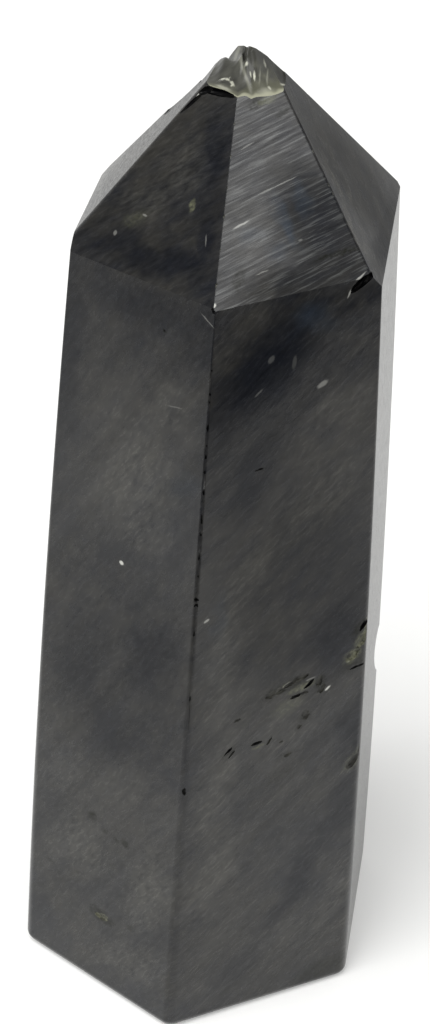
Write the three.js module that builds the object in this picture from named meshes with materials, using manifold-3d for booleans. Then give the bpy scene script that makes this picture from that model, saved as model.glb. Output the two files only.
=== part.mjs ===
import * as THREE from 'three';
import { mergeVertices } from 'three/addons/utils/BufferGeometryUtils.js';
import Module from 'manifold-3d';

const wasm = await Module();
wasm.setup();

// A hand-ground six-sided point of hematite with a broken tip, standing on its flat base.
// Millimetres and degrees. A turn of 0 faces -Y and a turn of 90 faces +X.

const shoulderHeight = 66; // where the long sides meet the facets of the point
const sideBow = 0.3; // how far a long side bulges at half its height
const sideBands = 5; // flat bands that follow the bulge
const cornerWear = { atBase: 1.1, atShoulder: 0.1 }; // radius of the worn long corners
const baseWear = 0.9; // radius of the worn edge round the base

// Distance of each long side from the upright axis, at the base and at the shoulder
const sides = [
  { turn: -89.6, atBase: 13.1, atShoulder: 10.33 },
  { turn: -29.4, atBase: 13.27, atShoulder: 10.47 },
  { turn: 32.1, atBase: 12.86, atShoulder: 10.48 },
  { turn: 89.5, atBase: 13.23, atShoulder: 10.47 },
  { turn: 149.6, atBase: 12.94, atShoulder: 10.63 },
  { turn: 209.8, atBase: 13.21, atShoulder: 10.36 },
];
const [, frontLeft, frontRight, right] = sides;

// Slope from level of each facet of the point, and the height where it crosses the axis
const facets = [
  { turn: -96.5, slope: 53.9, peak: 79.6 },
  { turn: -31.7, slope: 53.1, peak: 79.85 },
  { turn: 31.0, slope: 51.7, peak: 79.5 },
  { turn: 87.3, slope: 54.1, peak: 80.25 },
  { turn: 150.5, slope: 49.7, peak: 78.9 },
  { turn: 210.8, slope: 55.3, peak: 80.25 },
];
const [facetLeft, facetFrontLeft, facetFrontRight, facetRight] = facets;

// The break across the tip: two shell-shaped lobes that part at a ridge. A lobe starts at its rim, a plan
// distance from the axis in the direction of its turn, and climbs inward ever more steeply to its top.
// Its bend lifts or drops the right end of the rim.
const scar = {
  left: {
    turn: -33, rim: 2.42, rimHeight: 76.52, climb: 0.27, curl: 0.05, top: 77.53,
    bend: -1, bendFrom: 1.3, bendTo: 2,
  },
  right: {
    turn: 34, rim: 2.48, rimHeight: 76.345, climb: 0.72, curl: 0.19, top: 78.72,
    bend: 0.045, bendFrom: 0, bendTo: 4,
  },
  ridgeFoot: new THREE.Vector2(0.8, -2.4),
  ridgeHead: new THREE.Vector2(-0.37, -0.21),
  footHeight: 76.35,
  ridgeRise: 0.68,
  headFall: 0.91, // the crest drops again behind its head
  ridgeFlare: 0.33, // how quickly the lobes fall away from the ridge
  groove: { aside: 0.3, halfWidth: 0.16, depth: 0.2, start: 0.6 }, // runs up the right of the ridge
  notch: { x: -0.14, y: 0.1, halfWidth: 0.13, length: 0.75, depth: 0.36 },
  shelf: { x: -1.83, width: 0.87, height: 76.45 }, // low step at the far left
  blow: { x: -0.1, y: 0.3 }, // where the blow landed: rings and ribs spread from here
  ringLength: 0.7,
  ringDepth: 0.018,
  ribCount: 13,
  ribDepth: 0.035,
  width: 6.4,
  cells: 44,
};

// Flakes struck from the edges of the point: half widths along, across and into the stone
const tipFlakes = [
  { facet: facetFrontLeft, across: -0.15, height: 76.32, roll: 8, size: [1.3, 0.28, 0.24] },
  { facet: facetFrontLeft, across: -1.15, height: 76.15, roll: 34, size: [0.62, 0.32, 0.26] },
  { facet: facetFrontLeft, across: -1.9, height: 75.1, roll: 58, size: [1.3, 0.24, 0.24] },
  { facet: facetLeft, across: -2.2, height: 73.6, roll: 76, size: [3.0, 1.3, 0.16] },
  { facet: facetLeft, across: -1.9, height: 75.25, roll: 76, size: [1.1, 1.2, 0.42] },
  { facet: facetRight, across: -0.3, height: 77.75, roll: 90, size: [1.45, 1.7, 0.17] },
  { facet: facetFrontRight, across: 4.27, height: 66.06, roll: 32, size: [1.15, 0.32, 0.6] },
  { facet: facetFrontRight, across: -6.3, height: 66.15, roll: 0, size: [0.34, 0.3, 0.3] },
  { facet: facetFrontLeft, across: 3.72, height: 69.3, roll: 80, size: [0.4, 0.16, 0.14] },
];

// Nicks down the front corner: height and half length
const cornerNicks = [
  { height: 60.6, length: 0.4 },
  { height: 57.2, length: 0.3 },
  { height: 52.4, length: 0.45 },
  { height: 47.0, length: 0.35 },
  { height: 43.4, length: 0.3 },
  { height: 40.8, length: 0.7 },
  { height: 36.2, length: 0.35 },
  { height: 25.6, length: 0.45 },
];
const nickDepth = 0.3; // share of a nick's length that it goes in

// Natural pits left in the polished sides, and last the chip knocked off the right back corner
const pits = [
  { side: frontRight, across: -0.89, height: 32.7, roll: 30, size: [0.45, 0.4, 0.13] },
  { side: frontRight, across: -0.06, height: 32.92, roll: 20, size: [0.5, 0.3, 0.12] },
  { side: frontRight, across: 1.23, height: 33.51, roll: 18, size: [0.95, 0.36, 0.16] },
  { side: frontRight, across: 2.24, height: 32.9, roll: 48, size: [0.6, 0.18, 0.14] },
  { side: frontRight, across: 3.19, height: 32.5, roll: 85, size: [0.8, 0.4, 0.16] },
  { side: frontRight, across: 1.52, height: 32.05, roll: 12, size: [0.8, 0.2, 0.12] },
  { side: frontRight, across: 2.12, height: 29.94, roll: 60, size: [0.55, 0.34, 0.12] },
  { side: frontRight, across: -3.45, height: 31.13, roll: 10, size: [0.28, 0.17, 0.1] },
  { side: frontRight, across: -1.85, height: 28.35, roll: 8, size: [0.5, 0.2, 0.13] },
  { side: frontRight, across: -0.72, height: 28.33, roll: 62, size: [0.45, 0.14, 0.1] },
  { side: frontRight, across: -4.02, height: 28.33, roll: 45, size: [0.62, 0.2, 0.14] },
  { side: frontRight, across: 0.85, height: 26.45, roll: 20, size: [0.35, 0.22, 0.09] },
  { side: frontRight, across: -2.61, height: 53.04, roll: 8, size: [0.35, 0.12, 0.1] },
  { side: frontRight, across: 1.78, height: 58.84, roll: 25, size: [0.4, 0.2, 0.1] },
  { side: frontRight, across: 6.4, height: 37.1, roll: 50, size: [0.7, 0.35, 0.24] },
  { side: frontRight, across: 5.85, height: 34.9, roll: 56, size: [1.35, 0.62, 0.28] },
  { side: frontRight, across: 6.2, height: 33.3, roll: 12, size: [0.75, 0.2, 0.16] },
  { side: frontRight, across: 7.1, height: 25.1, roll: 70, size: [0.9, 0.42, 0.26] },
  { side: frontRight, across: 6.4, height: 24.0, roll: 62, size: [1.15, 0.58, 0.26] },
  { side: right, across: -6.9, height: 36.6, roll: 80, size: [1.5, 0.52, 0.32] },
  { side: right, across: -7.2, height: 24.6, roll: 70, size: [1.2, 0.44, 0.28] },
  { side: frontLeft, across: 0.2, height: 7.9, roll: 15, size: [1.0, 0.6, 0.13] },
  { side: frontLeft, across: 0.16, height: 42.97, roll: 0, size: [0.2, 0.16, 0.1] },
  { side: right, across: 7.2, height: 23.4, roll: -42, size: [5.4, 1.8, 0.8] },
];

const chipRoughness = 0.22; // how uneven a chip's wall is, as a share of its size
const chipDetail = 2;

const stoneFinish = new THREE.MeshStandardMaterial({ color: 0x35363a, roughness: 0.3, metalness: 0.35 });

const up = new THREE.Vector3(0, 0, 1);
const radians = THREE.MathUtils.degToRad;

function outward(turn) {
  return new THREE.Vector3(Math.sin(radians(turn)), -Math.cos(radians(turn)), 0);
}

function alongFace(turn) {
  return new THREE.Vector3(Math.cos(radians(turn)), Math.sin(radians(turn)), 0);
}

function facetNormal({ turn, slope }) {
  return outward(turn).multiplyScalar(Math.sin(radians(slope))).setZ(Math.cos(radians(slope)));
}

// Closed three.js geometry to a solid that can be cut
function toSolid(geometry) {
  const bare = geometry.clone();
  bare.deleteAttribute('normal');
  bare.deleteAttribute('uv');
  const merged = mergeVertices(bare, 1e-5);
  return new wasm.Manifold(new wasm.Mesh({
    numProp: 3,
    vertProperties: new Float32Array(merged.attributes.position.array),
    triVerts: new Uint32Array(merged.index.array),
  }));
}

function toGeometry(solid) {
  const mesh = solid.getMesh();
  const geometry = new THREE.BufferGeometry();
  geometry.setAttribute('position', new THREE.BufferAttribute(Float32Array.from(mesh.vertProperties), 3));
  geometry.setIndex(new THREE.BufferAttribute(Uint32Array.from(mesh.triVerts), 1));
  geometry.computeVertexNormals();
  return geometry;
}

// Distance of a long side from the axis at a height, bulge included
function sideDistance(side, height) {
  const share = height / shoulderHeight;
  const bow = sideBow * 4 * share * (1 - share);
  return THREE.MathUtils.lerp(side.atBase, side.atShoulder, share) + bow;
}

function cornerRadius(height) {
  return THREE.MathUtils.lerp(cornerWear.atBase, cornerWear.atShoulder, height / shoulderHeight);
}

// Where the worn corner between two sides reaches in the direction midway between them
function cornerDistance(first, second, height) {
  const radius = cornerRadius(height);
  const halfAngle = radians(second.turn - first.turn) / 2;
  const inner = (sideDistance(first, height) + sideDistance(second, height)) / 2 - radius;
  return inner / Math.cos(halfAngle) + radius;
}

// One grinding stroke: everything past a plane is taken off
function grind(solid, normal, distance) {
  const reach = 200;
  const waste = new THREE.BoxGeometry(reach, reach, reach);
  const turn = new THREE.Quaternion().setFromUnitVectors(up, normal);
  const centre = normal.clone().multiplyScalar(distance + reach / 2);
  waste.applyMatrix4(new THREE.Matrix4().compose(centre, turn, new THREE.Vector3(1, 1, 1)));
  return solid.subtract(toSolid(waste));
}

// A bulging upright surface, ground as flat bands one above the other
function grindUpright(solid, turn, distanceAt) {
  let ground = solid;
  for (let band = 0; band < sideBands; band += 1) {
    const low = (shoulderHeight * band) / sideBands;
    const high = (shoulderHeight * (band + 1)) / sideBands;
    const lean = (distanceAt(low) - distanceAt(high)) / (high - low);
    const normal = outward(turn).setZ(lean).normalize();
    const touch = outward(turn).multiplyScalar(distanceAt(low)).setZ(low);
    ground = grind(ground, normal, normal.dot(touch));
  }
  return ground;
}

function groundPoint() {
  const block = new THREE.BoxGeometry(40, 40, 100);
  block.translate(0, 0, 50);
  let solid = toSolid(block);
  sides.forEach((side, index) => {
    const next = sides[(index + 1) % sides.length];
    const nextTurn = next.turn < side.turn ? next.turn + 360 : next.turn;
    const neighbour = { ...next, turn: nextTurn };
    solid = grindUpright(solid, side.turn, (height) => sideDistance(side, height));
    const cornerTurn = (side.turn + nextTurn) / 2;
    solid = grindUpright(solid, cornerTurn, (height) => cornerDistance(side, neighbour, height));
    const bevel = outward(side.turn).setZ(-1).normalize();
    const bevelCentre = outward(side.turn).multiplyScalar(side.atBase - baseWear).setZ(baseWear);
    solid = grind(solid, bevel, bevel.dot(bevelCentre) + baseWear);
  });
  facets.forEach((facet) => {
    solid = grind(solid, facetNormal(facet), Math.cos(radians(facet.slope)) * facet.peak);
  });
  return solid;
}

// How far a plan position lies inside the rim of a lobe
function lobeInward(lobe, x, y) {
  return lobe.rim - outward(lobe.turn).dot(new THREE.Vector3(x, y, 0));
}

function lobeHeight(lobe, inward, sideways) {
  const bent = THREE.MathUtils.clamp(sideways, lobe.bendFrom, lobe.bendTo) - lobe.bendFrom;
  const rimHeight = lobe.rimHeight + lobe.bend * bent ** 2;
  const height = rimHeight + lobe.climb * inward + lobe.curl * inward * Math.abs(inward);
  return Math.min(height, lobe.top);
}

// Height of the broken surface over a plan position
function scarHeight(x, y) {
  const ridge = scar.ridgeHead.clone().sub(scar.ridgeFoot);
  const length = ridge.length();
  ridge.normalize();
  const fromFoot = new THREE.Vector2(x, y).sub(scar.ridgeFoot);
  const along = fromFoot.dot(ridge);
  const aside = fromFoot.x * ridge.y - fromFoot.y * ridge.x; // positive on the right
  const crest = scar.footHeight + scar.ridgeRise * Math.min(along, length)
    - scar.headFall * Math.max(0, along - length);
  const lobe = aside < 0 ? scar.left : scar.right;
  const inward = lobeInward(lobe, x, y);
  const base = lobeHeight(lobe, inward, alongFace(lobe.turn).dot(new THREE.Vector3(x, y, 0)));
  let surface = THREE.MathUtils.lerp(base, crest, Math.exp(-Math.abs(aside) / scar.ridgeFlare));
  const { shelf } = scar;
  const step = THREE.MathUtils.smoothstep((shelf.x - x) / shelf.width, -0.5, 0.5);
  surface = THREE.MathUtils.lerp(surface, Math.min(surface, shelf.height), step);

  // Rings and ribs of the break, which fade towards its rim
  const fromBlow = Math.hypot(x - scar.blow.x, y - scar.blow.y);
  const fan = Math.atan2(x - scar.blow.x, scar.blow.y - y);
  const ring = Math.sin((fromBlow / scar.ringLength) * 2 * Math.PI);
  const rib = Math.sin(fan * scar.ribCount + Math.sin(fromBlow * 2)) * (aside > 0 ? 1 : 0.3);
  const relief = (scar.ringDepth * ring + scar.ribDepth * rib) * Math.min(1, Math.abs(aside) / 0.5)
    * THREE.MathUtils.smoothstep(inward, 0, 0.7);

  const { groove, notch } = scar;
  const acrossGroove = (aside - groove.aside) / groove.halfWidth;
  const grooveStart = THREE.MathUtils.smoothstep(along, groove.start, length);
  const grooveDepth = groove.depth * Math.exp(-acrossGroove * acrossGroove) * grooveStart;
  const fromNotch = ((x - notch.x) / notch.halfWidth) ** 2 + ((y - notch.y) / notch.length) ** 2;
  return surface + relief - grooveDepth - notch.depth * Math.exp(-fromNotch);
}

function scarWaste() {
  const depth = 10;
  const block = new THREE.BoxGeometry(scar.width, scar.width, depth, scar.cells, scar.cells, 1);
  const position = block.attributes.position;
  for (let index = 0; index < position.count; index += 1) {
    const x = position.getX(index);
    const y = position.getY(index) - 0.8;
    const isUnderside = position.getZ(index) < 0;
    const z = isUnderside ? scarHeight(x, y) : scar.footHeight + depth;
    position.setXYZ(index, x, y, z);
  }
  return toSolid(block);
}

// Smooth uneven field for the walls of the chips
function unevenness(v, seed) {
  const swell = Math.sin(3.1 * v.x + 1.7 * seed) * Math.sin(2.3 * v.y + 0.9 * seed);
  return swell + 0.6 * Math.sin(4.3 * v.z + 2.9 * seed);
}

// A chip is a rough ellipsoid set into a face: size is half widths along, across and in
function chipWaste(place, normal, roll, size, seed) {
  const lump = new THREE.IcosahedronGeometry(1, chipDetail);
  const position = lump.attributes.position;
  const point = new THREE.Vector3();
  for (let index = 0; index < position.count; index += 1) {
    point.fromBufferAttribute(position, index);
    point.multiplyScalar(1 + chipRoughness * unevenness(point, seed));
    position.setXYZ(index, point.x, point.y, point.z);
  }
  const level = new THREE.Vector3().crossVectors(up, normal).normalize();
  const uphill = new THREE.Vector3().crossVectors(normal, level);
  const basis = new THREE.Matrix4().makeBasis(level, uphill, normal);
  const spin = new THREE.Matrix4().makeRotationZ(radians(roll));
  const shape = new THREE.Matrix4().makeScale(...size);
  const move = new THREE.Matrix4().makeTranslation(place.x, place.y, place.z);
  lump.applyMatrix4(move.multiply(basis).multiply(spin).multiply(shape));
  return toSolid(lump);
}

function facetChip({ facet, across, height, roll, size }, seed) {
  const distance = (facet.peak - height) / Math.tan(radians(facet.slope));
  const place = outward(facet.turn).multiplyScalar(distance);
  place.addScaledVector(alongFace(facet.turn), across).setZ(height);
  return chipWaste(place, facetNormal(facet), roll, size, seed);
}

function sidePit({ side, across, height, roll, size }, seed) {
  const place = outward(side.turn).multiplyScalar(sideDistance(side, height));
  place.addScaledVector(alongFace(side.turn), across).setZ(height);
  return chipWaste(place, outward(side.turn), roll, size, seed);
}

function cornerNick({ height, length }, seed) {
  const turn = (frontLeft.turn + frontRight.turn) / 2;
  const reach = cornerDistance(frontLeft, frontRight, height);
  const place = outward(turn).multiplyScalar(reach).setZ(height);
  return chipWaste(place, outward(turn), 90, [length, length * 0.7, length * nickDepth], seed);
}

function chipped(solid) {
  const waste = [
    scarWaste(),
    ...tipFlakes.map((flake, index) => facetChip(flake, index + 1)),
    ...cornerNicks.map((nick, index) => cornerNick(nick, index + 11)),
    ...pits.map((pit, index) => sidePit(pit, index + 31)),
  ];
  return waste.reduce((stone, piece) => stone.subtract(piece), solid);
}

const point = new THREE.Mesh(toGeometry(chipped(groundPoint())), stoneFinish);
point.name = 'hematite_point';

const specimen = new THREE.Group();
specimen.add(point);

export default specimen;
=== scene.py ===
import math

import bmesh
import bpy
import numpy as np
from mathutils import Matrix, Vector, noise


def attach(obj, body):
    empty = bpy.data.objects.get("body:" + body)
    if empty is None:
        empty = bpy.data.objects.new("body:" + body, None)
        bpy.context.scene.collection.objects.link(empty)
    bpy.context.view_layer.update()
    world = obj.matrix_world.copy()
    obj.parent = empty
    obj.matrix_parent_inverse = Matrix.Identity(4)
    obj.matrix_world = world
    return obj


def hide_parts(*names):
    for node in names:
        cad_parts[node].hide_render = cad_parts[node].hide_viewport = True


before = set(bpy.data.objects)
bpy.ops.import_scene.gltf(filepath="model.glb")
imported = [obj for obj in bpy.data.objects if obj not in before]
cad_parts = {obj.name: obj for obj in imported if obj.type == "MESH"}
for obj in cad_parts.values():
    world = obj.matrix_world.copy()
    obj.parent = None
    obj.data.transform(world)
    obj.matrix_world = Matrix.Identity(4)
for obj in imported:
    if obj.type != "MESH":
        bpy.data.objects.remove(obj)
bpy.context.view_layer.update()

mm = 0.001  # every size below is in millimetres and is turned to metres when a mesh is made


# A level direction; the turn is 0 towards -Y and 90 towards +X
def outward(turn):
    a = math.radians(turn)
    return Vector((math.sin(a), -math.cos(a), 0))


def alongFace(turn):
    a = math.radians(turn)
    return Vector((math.cos(a), math.sin(a), 0))


def mix(a, b, t):
    return a + (b - a) * t


def smoothStep(low, high, value):
    t = min(1, max(0, (value - low) / (high - low)))
    return t * t * (3 - 2 * t)


# Camera: a close shot from the front, looking down on the stone
camera = {
    "turn": 6.52,
    "elevation": 37.81,
    "roll": 3.29,
    "distance": 182.07,
    "aimRight": -0.38,
    "aimHeight": 40.54,
    "lens": 86.4,
}


def buildCamera():
    up = Vector((0, 0, 1))
    tilt = math.radians(camera["elevation"])
    back = outward(camera["turn"]) * math.cos(tilt) + up * math.sin(tilt)
    right = alongFace(camera["turn"])
    top = back.cross(right)
    roll = math.radians(camera["roll"])
    rolledRight = right * math.cos(roll) + top * math.sin(roll)
    rolledTop = top * math.cos(roll) - right * math.sin(roll)
    aim = right * camera["aimRight"] + up * camera["aimHeight"]
    place = (aim + back * camera["distance"]) * mm
    data = bpy.data.cameras.new("camera")
    data.lens = camera["lens"]
    data.sensor_width = 36
    data.clip_start = 0.01
    obj = bpy.data.objects.new("camera", data)
    bpy.context.scene.collection.objects.link(obj)
    turned = Matrix((rolledRight, rolledTop, back)).transposed()
    obj.matrix_world = Matrix.Translation(place) @ turned.to_4x4()
    bpy.context.scene.camera = obj


buildCamera()
print("camera placed")

# The ground stone: six long sides and the six facets of its point
stone = {
    "shoulder": 66,  # height where the long sides meet the point
    "bow": 0.3,  # bulge of a long side at half height
    "bands": 22,
    "blockTop": 84,
    "cornerWear": (1.1, 0.1),  # radius of the long corners at the base and at the shoulder
    "cornerSteps": 7,
    "baseWear": 0.9,
    "baseSteps": 5,
    "edgeWear": {"facetLeft": 1.3, "facetFrontRight": 0.4},  # radius of the edge after that facet
    "crispWear": 0.08,
    "edgeSteps": 4,
    "sharpFrom": 32,  # edges that turn more than this stay sharp
    "sides": {  # turn, distance from the axis at the base and at the shoulder
        "sideLeft": (-89.6, 13.1, 10.33),
        "sideFrontLeft": (-29.4, 13.27, 10.47),
        "sideFrontRight": (32.1, 12.86, 10.48),
        "sideRight": (89.5, 13.23, 10.47),
        "sideBackRight": (149.6, 12.94, 10.63),
        "sideBackLeft": (209.8, 13.21, 10.36),
    },
    "facets": {  # turn, slope from level, height where it crosses the axis
        "facetLeft": (-96.5, 53.9, 79.6),
        "facetFrontLeft": (-31.7, 53.1, 79.85),
        "facetFrontRight": (31.0, 51.7, 79.5),
        "facetRight": (87.3, 54.1, 80.25),
        "facetBackRight": (150.5, 49.7, 78.9),
        "facetBackLeft": (210.8, 55.3, 80.25),
    },
}


def sideDistance(name, height):
    turn, atBase, atShoulder = stone["sides"][name]
    share = height / stone["shoulder"]
    return mix(atBase, atShoulder, share) + stone["bow"] * 4 * share * (1 - share)


def facetNormal(name):
    turn, slope, peak = stone["facets"][name]
    s = math.radians(slope)
    return outward(turn) * math.sin(s) + Vector((0, 0, math.cos(s)))


def facetPoint(name, across, height):
    turn, slope, peak = stone["facets"][name]
    reach = (peak - height) / math.tan(math.radians(slope))
    return outward(turn) * reach + alongFace(turn) * across + Vector((0, 0, height))


def sidePoint(name, across, height):
    turn = stone["sides"][name][0]
    return outward(turn) * sideDistance(name, height) + alongFace(turn) * across + Vector((0, 0, height))


# Plan outline of the stone at a height, with its corners rounded by wear
def ringAt(height, shrink=0.0):
    names = list(stone["sides"])
    share = height / stone["shoulder"]
    radius = max(0.03, mix(*stone["cornerWear"], share))
    ring = []
    for i, name in enumerate(names):
        following = names[(i + 1) % 6]
        first, second = outward(stone["sides"][name][0]), outward(stone["sides"][following][0])
        inset = Matrix((first.xy, second.xy)).inverted() @ Vector((
            sideDistance(name, height) - radius - shrink,
            sideDistance(following, height) - radius - shrink))
        start = stone["sides"][name][0]
        sweep = (stone["sides"][following][0] - start) % 360
        for k in range(stone["cornerSteps"] + 1):
            direction = outward(start + sweep * k / stone["cornerSteps"])
            ring.append((inset.x + direction.x * radius, inset.y + direction.y * radius, height))
    return ring


# Stack of rings, closed below by a worn base edge and above far past the point
def loftStone():
    rings = []
    wear, bands, top, steps = stone["baseWear"], stone["bands"], stone["blockTop"], stone["baseSteps"]
    for k in range(steps + 1):
        a = math.radians(90 * k / steps)
        rings.append(ringAt(wear * (1 - math.sin(a)), wear * (1 - math.cos(a))))
    rings[0] = ringAt(wear, 0)
    rings = rings[:0:-1] + [ringAt(mix(wear, top, k / bands)) for k in range(bands + 1)]
    bm = bmesh.new()
    rows = [[bm.verts.new(p) for p in ring] for ring in rings]
    count = len(rows[0])
    for low, high in zip(rows, rows[1:]):
        for i in range(count):
            j = (i + 1) % count
            bm.faces.new((low[i], low[j], high[j], high[i]))
    bm.faces.new(list(reversed(rows[0])))
    bm.faces.new(rows[-1])
    bmesh.ops.recalc_face_normals(bm, faces=bm.faces[:])
    return bm


# Takes off all that lies past a plane and closes the cut with one flat face
def grind(bm, normal, distance):
    geometry = bm.verts[:] + bm.edges[:] + bm.faces[:]
    cut = bmesh.ops.bisect_plane(bm, geom=geometry, dist=1e-6, plane_co=normal * distance,
                                 plane_no=normal, clear_outer=True)
    edges = [e for e in cut["geom_cut"] if isinstance(e, bmesh.types.BMEdge)]
    if edges:
        bmesh.ops.edgeloop_fill(bm, edges=edges)


def grindPoint(bm):
    facets, sides = list(stone["facets"]), list(stone["sides"])
    planes = {}
    for name in facets:
        normal = facetNormal(name)
        planes[name] = (normal, normal.z * stone["facets"][name][2])
        grind(bm, *planes[name])
    pairs = []
    for i, name in enumerate(facets):
        radius = stone["edgeWear"].get(name, stone["crispWear"])
        pairs.append((planes[name], planes[facets[(i + 1) % 6]], radius))
        turn, atBase, atShoulder = stone["sides"][sides[i]]
        lean = (atBase - atShoulder + stone["bow"] * 4) / stone["shoulder"]
        normal = (outward(turn) + Vector((0, 0, lean))).normalized()
        distance = normal.dot(sidePoint(sides[i], 0, stone["shoulder"]))
        pairs.append((planes[name], (normal, distance), stone["crispWear"]))
    for (normalA, distanceA), (normalB, distanceB), radius in pairs:
        # The worn edge is an arc that touches both planes, cut as a few flats
        angle = normalA.angle(normalB)
        for k in range(1, stone["edgeSteps"] + 1):
            share = k / (stone["edgeSteps"] + 1)
            weightA = math.sin((1 - share) * angle) / math.sin(angle)
            weightB = math.sin(share * angle) / math.sin(angle)
            normal = normalA * weightA + normalB * weightB
            distance = (distanceA - radius) * weightA + (distanceB - radius) * weightB + radius
            grind(bm, normal.normalized(), distance / normal.length)


def meshObject(name, bm, material=None):
    for v in bm.verts:
        v.co *= mm
    data = bpy.data.meshes.new(name)
    bm.to_mesh(data)
    bm.free()
    obj = bpy.data.objects.new(name, data)
    bpy.context.scene.collection.objects.link(obj)
    if material:
        data.materials.append(material)
    return obj


# The break across the tip: two shell-shaped lobes that part at a ridge
scar = {
    "left": {"turn": -33, "rim": 2.42, "rimHeight": 76.52, "climb": 0.27, "curl": 0.05, "top": 77.53,
             "bend": -1, "bendFrom": 1.3, "bendTo": 2},
    "right": {"turn": 34, "rim": 2.48, "rimHeight": 76.345, "climb": 0.72, "curl": 0.19, "top": 78.72,
              "bend": 0.045, "bendFrom": 0, "bendTo": 4},
    "ridgeFoot": Vector((0.8, -2.4)),
    "ridgeHead": Vector((-0.37, -0.21)),
    "footHeight": 76.35,
    "ridgeRise": 0.68,
    "headFall": 0.91,  # the crest drops again behind its head
    "ridgeFlare": 0.33,
    "groove": {"aside": 0.3, "halfWidth": 0.16, "depth": 0.2, "start": 0.6},
    "notch": {"x": -0.14, "y": 0.1, "halfWidth": 0.12, "length": 0.75, "depth": 0.42},
    "shelf": {"x": -1.83, "width": 0.87, "height": 76.45},  # low step at the far left
    "crescent": {"x": -1.2, "y": -1.75, "radius": 0.62, "halfWidth": 0.07, "height": 0.07},
    "blow": Vector((-0.1, 0.3)),
    "wave": (0.03, 1.6),  # depth and number per millimetre of the broad swells
    "rib": (0.05, 4.6, 0.7),  # depth, number in the fan, number along it
    "fineRib": (0.016, 14, 1.2),
    "width": 6.4,
    "forward": 0.8,  # its middle lies in front of the axis
    "cells": 190,
    "clearance": 8,  # the waste reaches this far above the break
}


# The bend of a lobe lifts or drops the right end of its rim
def lobeHeight(lobe, x, y):
    inward = lobe["rim"] - outward(lobe["turn"]).dot(Vector((x, y, 0)))
    sideways = alongFace(lobe["turn"]).dot(Vector((x, y, 0)))
    bent = min(max(sideways, lobe["bendFrom"]), lobe["bendTo"]) - lobe["bendFrom"]
    height = lobe["rimHeight"] + lobe["bend"] * bent ** 2
    height += lobe["climb"] * inward + lobe["curl"] * inward * abs(inward)
    return min(height, lobe["top"])


# How far a plan point lies along the ridge from its foot, and aside, positive on the right
def ridgePlace(x, y):
    ridge = scar["ridgeHead"] - scar["ridgeFoot"]
    direction = ridge.normalized()
    fromFoot = Vector((x, y)) - scar["ridgeFoot"]
    return fromFoot.dot(direction), fromFoot.x * direction.y - fromFoot.y * direction.x, ridge.length


# Ripples of the break, that fan out from the point of the blow and end short of its rim
def scarRelief(x, y, aside):
    lobe = scar["left"] if aside < 0 else scar["right"]
    inward = lobe["rim"] - outward(lobe["turn"]).dot(Vector((x, y, 0)))
    fromBlow = Vector((x, y)) - scar["blow"]
    fan, reach = math.atan2(fromBlow.x, -fromBlow.y), fromBlow.length
    depth, often = scar["wave"]
    relief = depth * noise.noise(Vector((x * often, y * often, 4.2)))
    strength = smoothStep(0.2, 1.2, reach) * (1 if aside > 0 else 0.3)
    for seed, (depth, around, outwards) in enumerate((scar["rib"], scar["fineRib"])):
        relief += strength * depth * noise.noise(Vector((fan * around, reach * outwards, 7 * seed + 1.3)))
    ring = scar["crescent"]
    place = Vector((x - ring["x"], y - ring["y"]))
    offRing = (place.length - ring["radius"]) / ring["halfWidth"]
    arc = smoothStep(-0.5, 0.5, place.y + 0.6 * place.x)
    relief += ring["height"] * math.exp(-offRing ** 2) * arc
    return relief * min(1, abs(aside) / 0.4) * smoothStep(0, 0.7, inward)


def scarHeight(x, y):
    along, aside, length = ridgePlace(x, y)
    crest = scar["footHeight"] + scar["ridgeRise"] * min(along, length)
    crest -= scar["headFall"] * max(0, along - length)
    base = lobeHeight(scar["left"] if aside < 0 else scar["right"], x, y)
    surface = mix(base, crest, math.exp(-abs(aside) / scar["ridgeFlare"]))
    shelf = scar["shelf"]
    step = smoothStep(-0.5, 0.5, (shelf["x"] - x) / shelf["width"])
    surface = mix(surface, min(surface, shelf["height"]), step)
    groove, notch = scar["groove"], scar["notch"]
    acrossGroove = (aside - groove["aside"]) / groove["halfWidth"]
    cut = groove["depth"] * math.exp(-acrossGroove ** 2) * smoothStep(groove["start"], length, along)
    fromNotch = ((x - notch["x"]) / notch["halfWidth"]) ** 2 + ((y - notch["y"]) / notch["length"]) ** 2
    return surface + scarRelief(x, y, aside) - cut - notch["depth"] * math.exp(-fromNotch)


def scarWaste(material):
    cells, width = scar["cells"], scar["width"]
    bm = bmesh.new()
    top = scar["footHeight"] + scar["clearance"]
    grid, lid = [], []
    for j in range(cells + 1):
        for i in range(cells + 1):
            x = (i / cells - 0.5) * width
            y = (j / cells - 0.5) * width - scar["forward"]
            grid.append(bm.verts.new((x, y, scarHeight(x, y))))
    row = cells + 1
    for j in range(cells):
        for i in range(cells):
            a = j * row + i
            bm.faces.new((grid[a], grid[a + row], grid[a + row + 1], grid[a + 1]))
    border = [i for i in range(row)] + [j * row + cells for j in range(1, row)]
    border += [cells * row + i for i in range(cells - 1, -1, -1)] + [j * row for j in range(cells - 1, 0, -1)]
    for a in border:
        lid.append(bm.verts.new((grid[a].co.x, grid[a].co.y, top)))
    for k, a in enumerate(border):
        following = (k + 1) % len(border)
        bm.faces.new((grid[a], grid[border[following]], lid[following], lid[k]))
    bm.faces.new(lid)
    bmesh.ops.recalc_face_normals(bm, faces=bm.faces[:])
    return meshObject("scarWaste", bm, material)


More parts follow.
